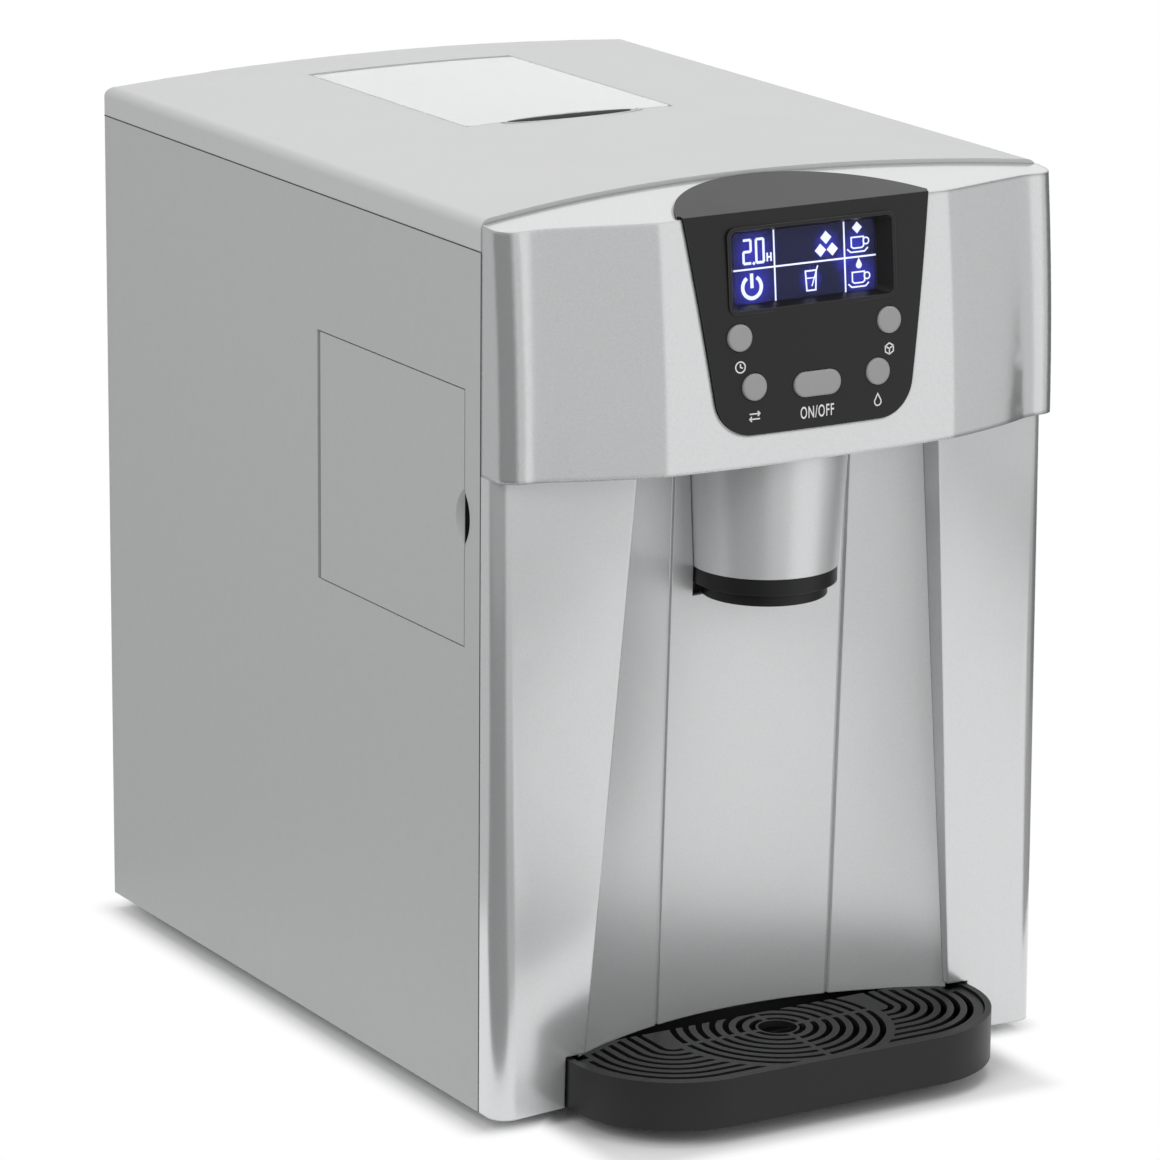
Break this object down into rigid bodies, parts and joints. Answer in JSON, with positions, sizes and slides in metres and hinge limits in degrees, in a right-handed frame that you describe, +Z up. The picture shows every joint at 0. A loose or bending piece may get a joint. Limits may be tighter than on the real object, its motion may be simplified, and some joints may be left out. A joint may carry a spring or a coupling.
{
  "type": "ice maker",
  "caption": "Countertop ice maker with a front dispenser for ice and water, a drip tray with a ringed grille, a clear lid window and a filter door on its left side.",
  "frame": {"origin": "middle of the whole box's bottom, level with the undersides of the feet", "axes": "+X to the viewer's right, the dispensing front faces -Y, +Z up"},
  "size_m": [0.29, 0.4404, 0.4195],
  "materials": {
    "side_paint": "matt mid grey",
    "lid_plastic": "light grey, satin",
    "silver_gloss": "metallic silver, glossy",
    "silver_satin": "metallic silver, satin",
    "black_panel": "satin black",
    "black_satin": "satin black",
    "button_grey": "satin grey",
    "window_clear": "clear, smoky",
    "display_blue": "dark blue",
    "module_dark": "dark blue",
    "board_green": "green laminate",
    "zinc_sheet": "zinc coated",
    "rubber_black": "matt black",
    "white_plastic": "white",
    "filter_white": "white, blue caps",
    "grey_plastic": "grey",
    "foam": "cream foam",
    "steel": "brushed",
    "nickel": "nickel plated",
    "motor_steel": "satin",
    "compressor_black": "black enamel",
    "fin_aluminium": "bare",
    "copper": "copper tube",
    "hose_clear": "silicone",
    "gear_white": "natural nylon"
  },
  "bodies": {
    "cabinet": {"base_pan": "zinc_sheet", "feet": "rubber_black", "left_panel": "side_paint", "right_panel": "side_paint", "rear_panel": "side_paint", "door_pins": "steel", "side_pocket": "white_plastic", "water_filter": "filter_white", "top_cover": "lid_plastic", "window_pins": "steel", "console": "silver_gloss", "fascia": "black_panel", "display_lens": "display_blue", "display_module": "module_dark", "control_board": "board_green", "front_housing": "silver_satin", "alcove_liner": "silver_satin", "chute_shroud": "silver_satin", "collar_ring": "black_panel", "nozzle_ring": "black_satin", "ice_guide": "grey_plastic", "water_spout": "steel", "inner_tub": "white_plastic", "insulation": "foam", "inner_cover": "white_plastic", "ice_bin": "white_plastic", "drive_plate": "zinc_sheet", "auger_motor": "motor_steel", "evaporator": "nickel", "evaporator_bracket": "zinc_sheet", "tilt_motor": "motor_steel", "ice_slide": "white_plastic", "compressor": "compressor_black", "grommets": "rubber_black", "condenser": "fin_aluminium", "fan_shroud": "black_satin", "fan_motor": "motor_steel", "refrigerant_pipes": "copper", "dispense_pump": "grey_plastic", "fill_pump": "grey_plastic", "water_hoses": "hose_clear", "power_board": "board_green", "power_inlet": "black_satin"},
    "window": {"ice_window": "window_clear"},
    "side_flap_door": {"side_door": "side_paint"},
    "tray": {"drip_tray": "black_satin"},
    "grille": {"drip_grille": "black_satin"},
    "timer": {"timer_button": "button_grey"},
    "ice_choice": {"ice_button": "button_grey"},
    "select": {"select_button": "button_grey"},
    "water_choice": {"water_button": "button_grey"},
    "power": {"power_button": "button_grey"},
    "flap": {"ice_flap": "grey_plastic"},
    "fan": {"fan_rotor": "grey_plastic"},
    "auger": {"auger": "steel", "auger_gear": "gear_white"},
    "pinion": {"motor_pinion": "gear_white"},
    "tilting_tray": {"water_tray": "grey_plastic"},
    "drain_stopper": {"drain_plug": "rubber_black"}
  },
  "joints": [
    {"name": "window_hinge", "type": "hinge", "parent": "cabinet", "child": "window", "pos_m": [0, 0.17165, 0.4157], "axis": [-1, 0, 0], "range_deg": [0, 95]},
    {"name": "side_door_hinge", "type": "hinge", "parent": "cabinet", "child": "side_flap_door", "pos_m": [-0.142, -0.00275, 0.2787], "axis": [0, 0, -1], "range_deg": [0, 100]},
    {"name": "timer_press", "type": "slide", "parent": "cabinet", "child": "timer", "axis": [0, 0.9954, -0.0958], "range_m": [0, 0.0012], "stiffness_N_per_m": 500, "springref_m": -0.0008},
    {"name": "ice_press", "type": "slide", "parent": "cabinet", "child": "ice_choice", "axis": [0, 0.9954, -0.0958], "range_m": [0, 0.0012], "stiffness_N_per_m": 500, "springref_m": -0.0008},
    {"name": "select_press", "type": "slide", "parent": "cabinet", "child": "select", "axis": [0, 0.9954, -0.0958], "range_m": [0, 0.0012], "stiffness_N_per_m": 500, "springref_m": -0.0008},
    {"name": "water_press", "type": "slide", "parent": "cabinet", "child": "water_choice", "axis": [0, 0.9954, -0.0958], "range_m": [0, 0.0012], "stiffness_N_per_m": 500, "springref_m": -0.0008},
    {"name": "power_press", "type": "slide", "parent": "cabinet", "child": "power", "axis": [0, 0.9954, -0.0958], "range_m": [0, 0.0012], "stiffness_N_per_m": 500, "springref_m": -0.0008},
    {"name": "tray_slide", "type": "slide", "parent": "cabinet", "child": "tray", "axis": [0, -1, 0], "range_m": [0, 0.055]},
    {"name": "grille_lift", "type": "slide", "parent": "tray", "child": "grille", "axis": [0, 0, 1], "range_m": [0, 0.015]},
    {"name": "flap_hinge", "type": "hinge", "parent": "cabinet", "child": "flap", "pos_m": [0, -0.13675, 0.266], "axis": [1, 0, 0], "range_deg": [0, 70], "stiffness_Nm_per_rad": 0.012, "springref_deg": -20.05},
    {"name": "fan_spin", "type": "hinge", "parent": "cabinet", "child": "fan", "pos_m": [0.084, 0.09625, 0.08], "axis": [1, 0, 0], "continuous": true},
    {"name": "auger_spin", "type": "hinge", "parent": "cabinet", "child": "auger", "pos_m": [0, -0.02875, 0.289], "axis": [0, 1, 0], "continuous": true},
    {"name": "pinion_spin", "type": "hinge", "parent": "cabinet", "child": "pinion", "pos_m": [0, 0.09925, 0.268], "axis": [0, 1, 0], "continuous": true},
    {"name": "tray_tilt", "type": "hinge", "parent": "cabinet", "child": "tilting_tray", "pos_m": [0, 0.13425, 0.37], "axis": [1, 0, 0], "range_deg": [0, 75]},
    {"name": "plug_pull", "type": "slide", "parent": "cabinet", "child": "drain_stopper", "axis": [0, 1, 0], "range_m": [0, 0.02]}
  ],
  "couplings": [
    {"joint": "pinion_spin", "follows": "auger_spin", "ratio": -2.5}
  ]
}
